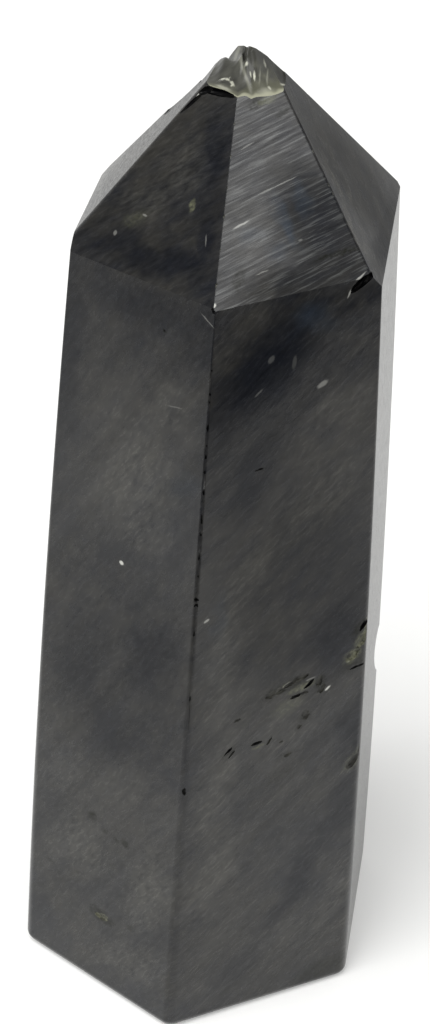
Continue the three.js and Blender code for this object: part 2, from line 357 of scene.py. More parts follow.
# Chips and pits: half widths along, across and into the stone
chips = {
    "flakes": [  # face, across, height, roll, size, roughness, finish
        ("facetFrontLeft", -0.15, 76.32, 8, (1.3, 0.26, 0.24), 0.12, "paintedShadeChip"),
        ("facetFrontLeft", -1.15, 76.15, 34, (0.62, 0.3, 0.26), 0.12, "paintedShadeChip"),
        ("facetFrontLeft", -1.9, 75.1, 58, (1.3, 0.22, 0.24), 0.1, "paintedShadeChip"),
        ("facetLeft", -2.2, 73.6, 76, (3.0, 1.3, 0.16), 0.03, "polishedStone"),
        ("facetLeft", -1.9, 75.25, 76, (1.1, 1.2, 0.42), 0.05, "polishedStone"),
        ("facetRight", -0.3, 77.75, 90, (1.45, 1.7, 0.17), 0.08, "freshBreak"),
        ("sideRight", 7.2, 23.4, -42, (5.4, 1.8, 0.8), 0.06, "polishedStone"),
        ("facetFrontRight", 4.27, 66.06, 32, (1.15, 0.3, 0.6), 0.14, "paintedShadeChip"),
        ("facetFrontRight", -6.3, 66.15, 0, (0.3, 0.26, 0.26), 0.25, "paintedShadeChip"),
    ],
    "cornerNicks": [  # height, half length, half width
        (61.7, 0.1, 0.07), (59.9, 0.16, 0.08), (59.3, 0.08, 0.07), (57.3, 0.28, 0.09), (55.9, 0.08, 0.06),
        (55.0, 0.2, 0.09), (53.8, 0.14, 0.09), (52.2, 0.24, 0.09), (50.1, 0.5, 0.08), (48.7, 0.14, 0.07),
        (46.9, 0.36, 0.08), (45.2, 0.12, 0.07), (43.15, 0.2, 0.17), (42.65, 0.16, 0.16), (40.2, 0.3, 0.08),
        (34.3, 0.26, 0.07), (25.5, 0.3, 0.17),
    ],
    "edgeNicks": [  # facet, next plane, height, half length
        ("facetFrontLeft", "facetFrontRight", 75.2, 0.1), ("facetFrontLeft", "facetFrontRight", 73.6, 0.13),
        ("facetFrontLeft", "facetFrontRight", 72.1, 0.09),
        ("facetFrontLeft", "facetFrontRight", 70.7, 0.14),
        ("facetFrontLeft", "facetFrontRight", 69.1, 0.1), ("facetFrontLeft", "facetFrontRight", 67.4, 0.16),
        ("facetFrontRight", "facetRight", 73.2, 0.14), ("facetFrontRight", "facetRight", 71.4, 0.16),
        ("facetFrontRight", "facetRight", 70.9, 0.12), ("facetRight", "facetBackRight", 74.9, 0.12),
        ("facetRight", "facetBackRight", 73.4, 0.14),
    ],
    "nickDepth": 0.7,
    "pits": [  # side, across, height, roll, size, finish
        ("sideFrontRight", -0.89, 32.7, 30, (0.42, 0.34, 0.1), "softPit"),
        ("sideFrontRight", -0.06, 32.92, 20, (0.5, 0.26, 0.09), "softPit"),
        ("sideFrontRight", 0.75, 33.3, 22, (0.5, 0.2, 0.09), "softPit"),
        ("sideFrontRight", 1.35, 33.6, 14, (0.7, 0.3, 0.12), "softPit"),
        ("sideFrontRight", 2.24, 32.85, 50, (0.5, 0.15, 0.12), "paintedShadeChip"),
        ("sideFrontRight", 3.05, 32.85, 80, (0.55, 0.3, 0.12), "softPit"),
        ("sideFrontRight", 3.3, 32.1, 60, (0.45, 0.24, 0.1), "softPit"),
        ("sideFrontRight", 1.2, 32.0, 12, (0.45, 0.14, 0.1), "paintedShadeChip"),
        ("sideFrontRight", 1.9, 32.1, 8, (0.4, 0.12, 0.08), "softPit"),
        ("sideFrontRight", 2.12, 29.94, 60, (0.45, 0.3, 0.09), "softPit"),
        ("sideFrontRight", 1.65, 28.95, 40, (0.22, 0.16, 0.06), "softPit"),
        ("sideFrontRight", -3.45, 31.13, 10, (0.26, 0.13, 0.08), "softPit"),
        ("sideFrontRight", -1.85, 28.38, 8, (0.42, 0.14, 0.11), "paintedShadeChip"),
        ("sideFrontRight", -0.72, 28.33, 62, (0.42, 0.1, 0.08), "softPit"),
        ("sideFrontRight", -4.02, 28.4, 45, (0.42, 0.13, 0.11), "paintedShadeChip"),
        ("sideFrontRight", -3.75, 28.0, 52, (0.4, 0.12, 0.08), "softPit"),
        ("sideFrontRight", 0.85, 26.45, 20, (0.3, 0.18, 0.06), "softPit"),
        ("sideFrontRight", 0.24, 27.9, 30, (0.16, 0.1, 0.05), "softPit"),
        ("sideFrontRight", -2.61, 53.04, 8, (0.28, 0.08, 0.08), "paintedShadeChip"),
        ("sideFrontRight", 6.4, 37.1, 52, (0.7, 0.22, 0.18), "paintedShadeChip"),
        ("sideFrontRight", 6.5, 36.0, 66, (1.0, 0.4, 0.14), "olivePit"),
        ("sideFrontRight", 5.65, 34.5, 45, (0.7, 0.4, 0.13), "olivePit"),
        ("sideFrontRight", 6.15, 33.35, 12, (0.6, 0.12, 0.1), "paintedShadeChip"),
        ("sideFrontRight", 7.1, 25.1, 70, (0.8, 0.28, 0.1), "softPit"),
        ("sideFrontRight", 6.4, 24.0, 60, (0.8, 0.3, 0.1), "softPit"),
        ("sideRight", -6.9, 36.6, 80, (1.3, 0.45, 0.28), "olivePit"),
        ("sideRight", -7.2, 24.6, 70, (1.1, 0.38, 0.24), "olivePit"),
        ("sideFrontLeft", 2.34, 63.0, 0, (0.09, 0.08, 0.07), "paintedShadeChip"),
        ("sideFrontLeft", 0.17, 7.95, 16, (0.7, 0.36, 0.07), "olivePit"),
    ],
}


def chipWaste(place, basis, roll, size, rough, seed, material, steps):
    # A lens set into a face, its wall uneven like a struck shell
    bm = bmesh.new()
    bmesh.ops.create_icosphere(bm, subdivisions=steps, radius=1)
    shift = Vector((seed * 3.7, seed * 1.9, seed * 5.3))
    for v in bm.verts:
        swell = 1.6 * noise.noise(v.co * 1.2 + shift) + 0.6 * noise.noise(v.co * 3.1 + shift)
        v.co *= 1 + rough * swell
    shape = Matrix.Diagonal((*size, 1))
    bm.transform(Matrix.Translation(place) @ basis @ Matrix.Rotation(math.radians(roll), 4, "Z") @ shape)
    return meshObject("chipWaste", bm, material)


# Axes of a face: level, uphill and out of the stone
def faceAxes(normal):
    level = Vector((0, 0, 1)).cross(normal).normalized()
    return Matrix((level, normal.cross(level), normal)).transposed().to_4x4()


def sidePlane(name):
    turn, atBase, atShoulder = stone["sides"][name]
    normal = (outward(turn) + Vector((0, 0, (atBase - atShoulder) / stone["shoulder"]))).normalized()
    return normal, normal.dot(sidePoint(name, 0, stone["shoulder"] / 2))


def edgePoint(first, second, height):
    planes = [(facetNormal(name), facetNormal(name).z * stone["facets"][name][2]) for name in (first, second)]
    rows = Matrix([normal.xy for normal, distance in planes])
    place = rows.inverted() @ Vector([distance - normal.z * height for normal, distance in planes])
    return Vector((*place, height)), (planes[0][0] + planes[1][0]).normalized()


def frontCorner(height):
    ring = ringAt(height)
    steps = stone["cornerSteps"] + 1
    return Vector(ring[steps + steps // 2])


def allChips(finishes):
    waste = []
    for face, across, height, roll, size, rough, finish in chips["flakes"]:
        if face in stone["sides"]:
            place, axes = sidePoint(face, across, height), faceAxes(outward(stone["sides"][face][0]))
        else:
            place, axes = facetPoint(face, across, height), faceAxes(facetNormal(face))
        waste.append(chipWaste(place, axes, roll, size, rough, len(waste) + 1, finishes[finish], 5))
    for side, across, height, roll, size, finish in chips["pits"]:
        place, axes = sidePoint(side, across, height), faceAxes(outward(stone["sides"][side][0]))
        waste.append(chipWaste(place, axes, roll, size, 0.34, len(waste) + 1, finishes[finish], 3))
    for height, length, width in chips["cornerNicks"]:
        size = (length, width, width * chips["nickDepth"])
        axes = faceAxes(outward(1.35))
        finish = finishes["paintedShadeChip"]
        waste.append(chipWaste(frontCorner(height), axes, 90, size, 0.4, len(waste) + 1, finish, 2))
    for first, second, height, length in chips["edgeNicks"]:
        place, normal = edgePoint(first, second, height)
        size = (length, length * 0.5, length * 0.5)
        finish = finishes["freshBreak"]
        waste.append(chipWaste(place, faceAxes(normal), 80, size, 0.4, len(waste) + 1, finish, 2))
    return waste


def cutAway(obj, waste):
    for piece in waste:
        cut = obj.modifiers.new("cut", "BOOLEAN")
        cut.operation = "DIFFERENCE"
        cut.solver = "MANIFOLD"
        cut.object = piece
        bpy.context.view_layer.objects.active = obj
        bpy.ops.object.modifier_apply(modifier=cut.name)
        bpy.data.objects.remove(piece)


# Unwrapping: each ground face has its own strip, drawn in millimetres
chart = {
    "span": 126,
    "strip": 17,
    "middle": 8.5,  # of a strip
    "foot": 0.5,  # height of the base line on the chart
    "facetRow": 70,
    "facetFoot": 64,  # a height under the shoulder, where the facets' strips start
    "base": (111.5, 10, 0.6),  # centre on the chart, and scale
    "scar": (114, 48, 3.4),
    "grain": {  # direction of the polishing strokes on each face, degrees from level
        "sideLeft": 50, "sideFrontLeft": 60, "sideFrontRight": 43, "sideRight": 84,
        "sideBackRight": 40, "sideBackLeft": 55, "facetLeft": 20, "facetFrontLeft": 50,
        "facetFrontRight": 15, "facetRight": 68, "facetBackRight": 25, "facetBackLeft": 30, "base": 10,
    },
    "ruled": {"facetFrontRight": 1.0, "facetRight": 0.15, "facetBackLeft": 0.7},  # strength of straight lines
}


# Where a point of a face lies on the chart, and the scale there
def chartPlace(face, across, height):
    if face == "scar":
        x0, y0, scale = chart["scar"]
        return x0 + across * scale, y0 + (height + scar["forward"]) * scale, scale
    if face in stone["sides"]:
        column = list(stone["sides"]).index(face)
        return column * chart["strip"] + chart["middle"] + across, chart["foot"] + height, 1
    uphill = facetNormal(face).cross(alongFace(stone["facets"][face][0]))
    climb = uphill.dot(facetPoint(face, across, height) - facetPoint(face, across, chart["facetFoot"]))
    column = list(stone["facets"]).index(face)
    return column * chart["strip"] + chart["middle"] + across, chart["facetRow"] + climb, 1


# Marks on the faces: face, across, height, half length, half width, turn, strength
marks = {
    "pale": [  # clouds where the polish is worn to a dusty grey
        ("sideFrontLeft", 0.8, 51.5, 8.5, 4.6, 78, 0.6), ("sideFrontLeft", 3.4, 57.2, 3.4, 2.6, 40, 0.55),
        ("sideFrontLeft", 1.6, 46.8, 4.0, 3.2, 60, 0.55), ("sideFrontLeft", -2.4, 13.6, 5.0, 4.0, 20, 0.6),
        ("sideFrontLeft", 4.4, 13.0, 5.6, 2.8, 80, 0.75), ("sideFrontLeft", 3.0, 5.0, 6.0, 3.4, 30, 0.5),
        ("sideFrontLeft", -4.6, 20.5, 4.6, 3.0, 60, 0.35), ("sideFrontLeft", 1.4, 23.0, 4.0, 2.4, 50, 0.3),
        ("sideFrontRight", -4.9, 24.5, 7.5, 2.6, 82, 0.7),
        ("sideFrontRight", -4.6, 15.5, 5.5, 3.0, 70, 0.75),
        ("sideFrontRight", 5.9, 10.2, 5.5, 1.9, 78, 0.55),
        ("sideFrontRight", -5.0, 37.0, 9.0, 1.8, 86, 0.5),
        ("sideFrontRight", 0.4, 28.6, 5.0, 3.2, 30, 0.35),
        ("sideFrontRight", -3.4, 44.5, 6.0, 2.2, 66, 0.4),
        ("sideFrontRight", 2.4, 50.0, 6.5, 3.2, 40, 0.35),
        ("sideFrontRight", 3.2, 56.6, 4.5, 2.2, 35, 0.35),
        ("sideFrontRight", 1.0, 6.8, 5.0, 2.4, 20, 0.3), ("facetFrontLeft", -0.2, 72.2, 3.4, 2.4, 60, 0.4),
        ("facetFrontLeft", -1.8, 69.9, 3.2, 1.5, 20, 0.35), ("facetRight", -1.2, 70.6, 6.0, 1.1, 68, 0.5),
        ("facetRight", -3.6, 69.2, 7.0, 0.7, 68, 0.6), ("facetFrontRight", -2.2, 70.6, 4.4, 2.6, 60, 0.3),
    ],
    "cool": [  # blue-black where the polish is best
        ("sideFrontLeft", -6.0, 57.5, 10.0, 2.2, 86, 0.7), ("sideFrontLeft", 0.5, 64.0, 7.5, 2.2, 4, 0.6),
        ("sideFrontLeft", 5.6, 62.6, 3.4, 2.0, 60, 0.55), ("sideFrontLeft", 5.6, 49.0, 6.0, 2.0, 80, 0.4),
        ("sideFrontLeft", 3.4, 36.0, 7.0, 3.4, 75, 0.7), ("sideFrontLeft", -3.4, 32.0, 7.0, 3.6, 70, 0.55),
        ("sideFrontLeft", 0.2, 27.0, 5.0, 3.0, 60, 0.4), ("sideFrontRight", 4.6, 36.5, 6.5, 3.4, 70, 0.8),
        ("sideFrontRight", 6.6, 27.5, 5.5, 1.9, 85, 0.8), ("sideFrontRight", 5.4, 19.4, 5.0, 2.6, 60, 0.7),
        ("sideFrontRight", 2.2, 12.6, 8.5, 2.0, 62, 0.75), ("sideFrontRight", -1.8, 5.4, 4.6, 2.4, 30, 0.5),
        ("sideFrontRight", -2.4, 60.5, 7.5, 3.6, 50, 0.8),
        ("sideFrontRight", -3.0, 52.4, 6.0, 2.2, 70, 0.5),
        ("facetFrontLeft", 0.4, 67.4, 7.0, 1.7, 6, 0.7), ("facetFrontLeft", 3.5, 69.2, 4.0, 0.9, 115, 0.6),
        ("facetFrontLeft", 1.5, 74.0, 2.6, 1.0, 115, 0.4),
        ("facetFrontRight", 3.2, 69.6, 3.6, 2.6, 110, 0.5),
    ],
    "dull": [  # where the polish mirrors little
        ("facetLeft", 0, 71, 14, 14, 0, 1.0), ("facetFrontLeft", 0, 71, 16, 14, 0, 0.8),
        ("facetFrontLeft", 0.4, 67.4, 10, 3.0, 4, 1.0), ("facetFrontLeft", 3.2, 71, 8, 1.6, 109, 1.0),
        ("facetFrontRight", 2.6, 69.4, 7.0, 5.4, 104, 0.92),
        ("facetFrontRight", 1.6, 66.8, 9.0, 3.0, 6, 1.0),
        ("facetRight", 0.8, 69.4, 11, 5.6, 106, 0.85), ("facetRight", -1.3, 73.6, 2.6, 0.9, 68, 0.6),
        ("facetRight", 0.6, 66.2, 8, 2.4, 0, 0.9), ("sideFrontLeft", 0.5, 33, 17, 14, 90, 0.45),
        ("sideFrontRight", -2.4, 62.6, 9.0, 4.2, 46, 0.95), ("sideFrontRight", 2.6, 64.8, 7.0, 1.8, 8, 0.8),
        ("sideFrontRight", 0.8, 42, 14, 9, 90, 0.5), ("sideRight", 0, 50, 34, 14, 90, 0.4),
        ("sideFrontLeft", 0, 12, 20, 14, 90, 0.2), ("facetFrontRight", 0, 71, 16, 14, 0, 0.16),
    ],
    "blue": [  # painted blue sheen: a bluish reflection drawn into the colour
        ("sideFrontRight", 0.9, 64.1, 2.6, 1.5, 10, 0.5),
        ("facetFrontRight", 0.2, 69.9, 3.0, 0.8, 108, 0.8),
        ("facetFrontRight", -0.7, 68.4, 1.6, 1.0, 60, 0.5),
        ("facetFrontRight", -2.8, 69.0, 1.8, 0.8, 20, 0.5),
        ("sideFrontLeft", 4.8, 51.6, 2.4, 1.6, 40, 0.3), ("sideFrontRight", -5.2, 41.0, 3.4, 1.0, 88, 0.3),
        ("facetFrontRight", 1.4, 70.9, 1.4, 0.7, 100, 0.6),
    ],
    "stain": [  # dark olive pores and stains
        ("sideFrontLeft", 0.1, 8.0, 1.5, 0.95, 4, 1.0), ("sideFrontLeft", 0.9, 7.8, 0.9, 0.6, 20, 1.0),
        ("sideFrontLeft", -0.6, 8.2, 0.9, 0.6, 60, 0.9), ("sideFrontLeft", 3.08, 8.67, 0.6, 0.5, 20, 0.7),
        ("sideFrontLeft", -1.21, 17.9, 0.8, 0.6, 60, 1.0),
        ("sideFrontLeft", 0.14, 17.13, 0.5, 0.36, 0, 0.8),
        ("sideFrontLeft", 1.3, 16.9, 0.6, 0.34, 150, 0.6), ("sideFrontLeft", 2.12, 17.1, 0.6, 0.6, 0, 1.0),
        ("sideFrontLeft", -5.15, 10.6, 0.5, 0.3, 10, 0.6), ("sideFrontLeft", -4.28, 9.84, 0.4, 0.4, 0, 0.4),
        ("sideFrontLeft", -2.37, 11.1, 0.4, 0.34, 0, 0.4), ("sideFrontLeft", 2.34, 63.0, 0.2, 0.16, 0, 1.0),
        ("sideFrontRight", 0.6, 33.2, 2.3, 0.7, 12, 0.75), ("sideFrontRight", 3.1, 32.6, 1.2, 0.7, 80, 0.8),
        ("sideFrontRight", 1.5, 32.05, 1.2, 0.34, 10, 0.7),
        ("sideFrontRight", -0.89, 32.7, 0.9, 0.7, 30, 0.7),
        ("sideFrontRight", 2.1, 29.8, 1.0, 0.7, 60, 0.75), ("sideFrontRight", 1.6, 28.9, 0.6, 0.5, 40, 0.5),
        ("sideFrontRight", -1.75, 28.3, 0.9, 0.36, 8, 0.6),
        ("sideFrontRight", 0.6, 26.5, 1.3, 0.6, 20, 0.5),
        ("sideFrontRight", -4.0, 28.2, 1.0, 0.36, 47, 0.7),
        ("sideFrontRight", 0.2, 24.6, 1.6, 0.8, 30, 0.3),
        ("sideFrontRight", -2.61, 53.04, 0.4, 0.2, 8, 0.7), ("sideFrontRight", 5.8, 1.8, 4.4, 1.7, 12, 0.7),
        ("sideFrontRight", 5.9, 33.8, 1.6, 0.9, 20, 0.8), ("sideFrontRight", 6.2, 36.9, 1.4, 0.8, 55, 0.8),
        ("facetFrontRight", 3.2, 67.85, 2.8, 0.3, 6, 0.75),
        ("facetFrontRight", -4.0, 67.5, 1.2, 0.5, 60, 0.5),
        ("facetFrontRight", -0.4, 76.0, 1.0, 0.4, 20, 0.8),
        ("facetFrontRight", 1.3, 75.4, 0.9, 0.22, 25, 0.7),
    ],
    "olive": [  # crusts of lighter olive on worn spots
        ("sideFrontRight", 6.4, 35.9, 1.5, 0.7, 62, 0.9), ("sideFrontRight", 5.65, 34.5, 1.2, 0.7, 50, 0.8),
        ("sideFrontRight", 5.4, 34.6, 0.8, 0.5, 30, 0.5), ("sideFrontRight", 7.0, 25.0, 1.6, 0.6, 66, 0.4),
        ("sideFrontRight", 6.4, 24.0, 1.5, 0.8, 60, 0.4), ("sideFrontRight", 5.9, 23.4, 0.9, 0.3, 40, 0.35),
        ("facetFrontLeft", 1.72, 70.5, 0.3, 0.62, 10, 0.8),
        ("facetFrontLeft", -1.9, 68.6, 1.4, 0.7, 40, 0.2),
        ("facetFrontRight", 0.4, 76.1, 1.2, 0.3, 12, 0.7), ("sideFrontRight", 1.6, 32.7, 1.6, 0.5, 14, 0.7),
        ("sideFrontRight", 0.4, 33.3, 0.6, 0.3, 20, 0.8), ("sideFrontRight", 0.6, 31.2, 2.0, 1.0, 20, 0.3),
        ("sideFrontRight", -1.6, 28.0, 0.7, 0.22, 12, 0.6),
    ],
    "paintedGlint": [  # painted glints: small bright highlights drawn as light spots in the colour
        ("sideFrontLeft", 0.16, 42.97, 0.24, 0.22, 0, 1.0),
        ("sideFrontRight", 3.79, 31.97, 0.36, 0.13, 45, 0.9),
        ("sideFrontRight", 0.4, 33.35, 0.45, 0.12, 30, 0.3),
        ("sideFrontRight", 2.33, 33.3, 0.5, 0.09, 12, 0.22),
        ("sideFrontRight", 5.5, 34.15, 0.4, 0.1, 40, 0.5), ("sideFrontRight", 5.9, 34.6, 0.3, 0.1, 70, 0.4),
        ("sideFrontRight", 6.65, 37.2, 0.5, 0.16, 60, 0.35),
        ("sideFrontRight", 1.78, 58.84, 0.55, 0.26, 28, 0.26),
        ("sideFrontRight", -2.9, 59.2, 0.5, 0.1, 40, 0.1),
        ("sideFrontRight", -2.1, 61.6, 0.4, 0.26, 60, 0.08),
        ("sideFrontRight", -0.4, 61.0, 0.7, 0.2, 84, 0.06),
        ("sideFrontRight", -6.17, 41.1, 0.3, 0.13, 35, 0.5),
        ("sideFrontLeft", 3.7, 57.7, 0.8, 0.06, 14, 0.16),
        ("sideFrontLeft", 5.7, 65.2, 0.8, 0.07, 150, 0.2),
        ("facetFrontLeft", -1.29, 69.0, 0.24, 0.1, 0, 0.22),
        ("facetFrontLeft", -2.84, 67.5, 0.24, 0.16, 100, 0.2),
        ("facetFrontLeft", 3.8, 69.2, 0.5, 0.07, 115, 0.16),
        ("facetFrontLeft", -1.5, 75.9, 0.75, 0.09, 66, 0.75),
        ("facetFrontRight", -3.1, 70.15, 0.75, 0.08, 16, 0.5),
        ("facetFrontRight", -1.0, 71.6, 0.8, 0.06, 15, 0.2),
        ("facetFrontRight", -2.35, 67.6, 0.6, 0.06, 12, 0.25),
        ("facetFrontRight", 0.7, 68.85, 0.2, 0.08, 10, 0.16),
        ("facetFrontRight", 0.5, 71.9, 1.1, 0.05, 15, 0.25),
        ("facetFrontRight", -1.6, 74.0, 0.7, 0.06, 20, 0.25),
        ("facetFrontRight", 4.1, 66.34, 1.0, 0.09, 32, 0.5),
        ("sideFrontRight", 3.35, 65.4, 0.4, 0.08, 70, 0.4),
        ("facetFrontRight", -6.1, 66.4, 0.3, 0.16, 20, 1.0), ("facetRight", -4.6, 70.4, 0.3, 0.12, 60, 0.4),
    ],
    "breakLight": [  # lit crests of the break
        ("scar", -1.4, -1.17, 0.32, 0.1, 6, 0.8), ("scar", -1.05, -1.27, 0.3, 0.09, -36, 0.8),
        ("scar", -0.7, -1.62, 0.34, 0.11, -52, 0.8), ("scar", -0.62, -1.8, 0.18, 0.16, 0, 0.9),
        ("scar", -0.93, -1.17, 0.2, 0.08, 80, 0.4), ("scar", -1.2, -1.95, 0.9, 0.22, -32, 0.45),
        ("scar", 0.07, -0.7, 0.17, 0.16, 0, 0.85), ("scar", 0.43, -1.19, 0.24, 0.08, -72, 0.8),
        ("scar", 0.7, -1.23, 0.32, 0.1, -80, 1.0), ("scar", 1.22, -0.43, 0.24, 0.1, -50, 0.35),
        ("scar", 1.74, -1.41, 0.2, 0.14, 0, 0.7), ("scar", 2.5, -0.75, 0.3, 0.14, 60, 0.7),
        ("scar", 1.02, -1.15, 0.6, 0.1, 95, 0.2), ("scar", 1.5, -0.95, 0.6, 0.1, 95, 0.2),
        ("scar", -0.85, 0.9, 0.7, 0.36, 80, 0.3), ("scar", 1.5, -1.75, 0.9, 0.3, 33, 0.3),
    ],
    "breakShade": [  # painted shade on the hollows of the break
        ("scar", 1.3, -0.5, 2.6, 1.7, -50, 0.85), ("scar", 2.2, -0.2, 2.0, 1.2, 60, 0.8),
        ("scar", -0.24, 0.3, 0.7, 0.16, 88, 1.0), ("scar", -0.15, -0.3, 0.5, 0.14, 80, 0.9),
        ("scar", 0.14, -1.0, 0.7, 0.14, -60, 0.85), ("scar", 0.6, -1.65, 0.8, 0.13, -52, 0.8),
        ("scar", 1.25, -0.8, 0.7, 0.12, 95, 0.5), ("scar", 1.75, -0.7, 0.7, 0.12, 95, 0.5),
        ("scar", -1.3, -1.45, 0.32, 0.14, -10, 0.6), ("scar", -1.4, -0.3, 1.2, 0.8, 20, 0.25),
        ("scar", -0.55, -1.3, 0.9, 0.2, -64, 0.4), ("scar", 0.35, -2.3, 0.5, 0.3, -50, 0.4),
        ("scar", 0.3, -0.2, 0.7, 0.4, 60, 0.6),
    ],
}


# Materials
class Look:
    # A material with short calls for its nodes

    def __init__(self, name):
        self.material = bpy.data.materials.new(name)
        self.material.use_nodes = True
        self.tree = self.material.node_tree
        self.bsdf = self.tree.nodes["Principled BSDF"]

    def add(self, kind, inputs=None, **settings):
        n = self.tree.nodes.new(kind)
        for key, value in settings.items():
            setattr(n, key, value)
        for key, value in (inputs or {}).items():
            self.put(n.inputs[key], value)
        return n

    def put(self, socket, value):
        if isinstance(value, bpy.types.NodeSocket):
            self.tree.links.new(value, socket)
        else:
            socket.default_value = value

    def place(self, uv=None):
        if uv:
            return self.add("ShaderNodeUVMap", uv_map=uv).outputs[0]
        return self.add("ShaderNodeTexCoord").outputs["Object"]

    def attribute(self, name):
        return self.add("ShaderNodeAttribute", attribute_name=name).outputs["Fac"]

    def moved(self, vector, scale, turn=0, shift=(0, 0, 0)):
        inputs = {"Vector": vector, "Scale": scale, "Rotation": (0, 0, math.radians(turn)), "Location": shift}
        return self.add("ShaderNodeMapping", inputs).outputs[0]

    def cloud(self, vector, scale, detail=4, roughness=0.55, distortion=0.0, output=0):
        inputs = {"Vector": vector, "Scale": scale, "Detail": detail, "Roughness": roughness,
                  "Distortion": distortion}
        return self.add("ShaderNodeTexNoise", inputs).outputs[output]

    # Coordinates pushed about by a soft noise, so that what is drawn on them gets an uneven edge
    def warped(self, vector, scale, reach):
        push = self.cloud(vector, scale, 3, 0.6, output=1)
        kind = "ShaderNodeVectorMath"
        push = self.add(kind, {0: push, 1: (0.5, 0.5, 0.5)}, operation="SUBTRACT").outputs[0]
        push = self.add(kind, {0: push, "Scale": reach}, operation="SCALE").outputs[0]
        return self.add(kind, {0: vector, 1: push}, operation="ADD").outputs[0]

    def between(self, value, low, high, toLow=0.0, toHigh=1.0):
        inputs = {"Value": value, "From Min": low, "From Max": high, "To Min": toLow, "To Max": toHigh}
        return self.add("ShaderNodeMapRange", inputs).outputs[0]

    def sum(self, a, b, kind="ADD"):
        return self.add("ShaderNodeMath", {0: a, 1: b}, operation=kind).outputs[0]

    def times(self, a, b):
        return self.sum(a, b, "MULTIPLY")

    def scaled(self, tone, factor):
        return self.add("ShaderNodeVectorMath", {0: tone, "Scale": factor}, operation="SCALE").outputs[0]

    def blend(self, share, a, b):
        n = self.add("ShaderNodeMix", data_type="RGBA")
        self.put(n.inputs[0], share)
        self.put(n.inputs[6], a)
        self.put(n.inputs[7], b)
        return n.outputs[2]

    def bump(self, height, distance, normal=None):
        inputs = {"Height": height, "Distance": distance, "Strength": 1.0}
        if normal:
            inputs["Normal"] = normal
        return self.add("ShaderNodeBump", inputs).outputs[0]

    # The marks of one kind joined into one mask
    def marked(self, place, kind, edge=0.6):
        mask = None
        for face, across, height, length, width, turn, strength in marks[kind]:
            x, y, scale = chartPlace(face, across, height)
            inputs = {"Vector": place, "Location": (x, y, 0), "Rotation": (0, 0, math.radians(turn)),
                      "Scale": (length * scale, width * scale, 60)}
            local = self.add("ShaderNodeMapping", inputs, vector_type="TEXTURE").outputs[0]
            near = self.add("ShaderNodeTexGradient", {"Vector": local}, gradient_type="SPHERICAL").outputs[1]
            inputs = {"Value": near, "From Min": 0.0, "From Max": edge, "To Min": 0.0, "To Max": strength}
            shade = self.add("ShaderNodeMapRange", inputs, interpolation_type="SMOOTHSTEP").outputs[0]
            mask = self.sum(mask, shade, "MAXIMUM") if mask else shade
        return mask

    def set(self, **inputs):
        for key, value in inputs.items():
            self.put(self.bsdf.inputs[key.replace("_", " ")], value)


tones = {
    "coolBlack": (0.0075, 0.0082, 0.0105, 1),
    "warmGrey": (0.024, 0.023, 0.0205, 1),
    "stroke": (0.075, 0.074, 0.068, 1),
    "dust": (0.06, 0.058, 0.05, 1),
    "blueBlack": (0.004, 0.005, 0.008, 1),
    "paintedBlueSheen": (0.016, 0.024, 0.036, 1),
    "oliveBlack": (0.006, 0.0065, 0.003, 1),
    "olive": (0.105, 0.108, 0.066, 1),
    "paintedGlint": (0.62, 0.62, 0.57, 1),
    "ruledLine": (0.2, 0.21, 0.2, 1),
}


